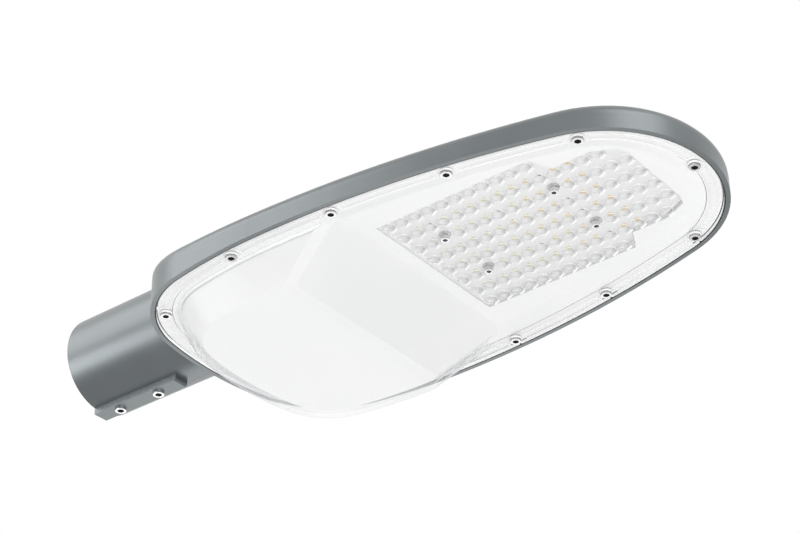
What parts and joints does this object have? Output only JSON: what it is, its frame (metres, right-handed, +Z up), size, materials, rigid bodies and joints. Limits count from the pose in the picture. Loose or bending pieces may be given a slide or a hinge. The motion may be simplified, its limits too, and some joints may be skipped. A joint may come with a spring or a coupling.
{
  "type": "street_light_head",
  "caption": "Side entry street light head with a cast grey housing, clear cover with a raised gear bay, white liner and a lens plate over light-emitting diodes",
  "frame": {"origin": "on the axis of the pole socket, at its mouth", "axes": "+X runs from the pole along the head to its tip, +Y across the head, and +Z up, away from the road"},
  "size_m": [0.507, 0.2214, 0.105],
  "materials": {
    "powder_coat": "satin",
    "clear_polycarbonate": "gloss",
    "white_plastic": "satin",
    "black_steel": "satin",
    "stainless_steel": "satin",
    "zinc_steel": "satin",
    "silicone": "matte",
    "pad_grey": "matte",
    "board_white": "gloss",
    "phosphor": "gloss",
    "lens_acrylic": "gloss",
    "driver_grey": "satin",
    "cap_black": "matte",
    "surge_red": "matte",
    "terminal_ivory": "matte",
    "brass_plain": "satin",
    "gland_grey": "matte",
    "seal_black": "matte",
    "lead_red": "satin"
  },
  "bodies": {
    "root": {"housing": "powder_coat", "clear_cover": "clear_polycarbonate", "cover_gasket": "silicone", "white_liner": "white_plastic", "cover_screws": "stainless_steel", "lens_plate_screws": "black_steel", "clamp_screws": "stainless_steel", "thermal_pad": "pad_grey", "led_board": "board_white", "led_packages": "phosphor", "lens_plate": "lens_acrylic", "led_connector": "terminal_ivory", "lamp_leads": "lead_red", "gear_tray": "zinc_steel", "gear_tray_screws": "stainless_steel", "driver_case": "driver_grey", "driver_end_caps": "cap_black", "driver_screws": "stainless_steel", "surge_protector": "surge_red", "terminal_block": "terminal_ivory", "terminal_screws": "brass_plain", "cable_clamp": "cap_black", "cable_clamp_screws": "stainless_steel", "earth_screw": "brass_plain", "earth_washer": "brass_plain", "cable_gland_body": "gland_grey", "cable_gland_cap": "gland_grey", "cable_gland_nut": "gland_grey", "cable_gland_seal": "seal_black", "breather_vent": "cap_black"}
  },
  "joints": []
}
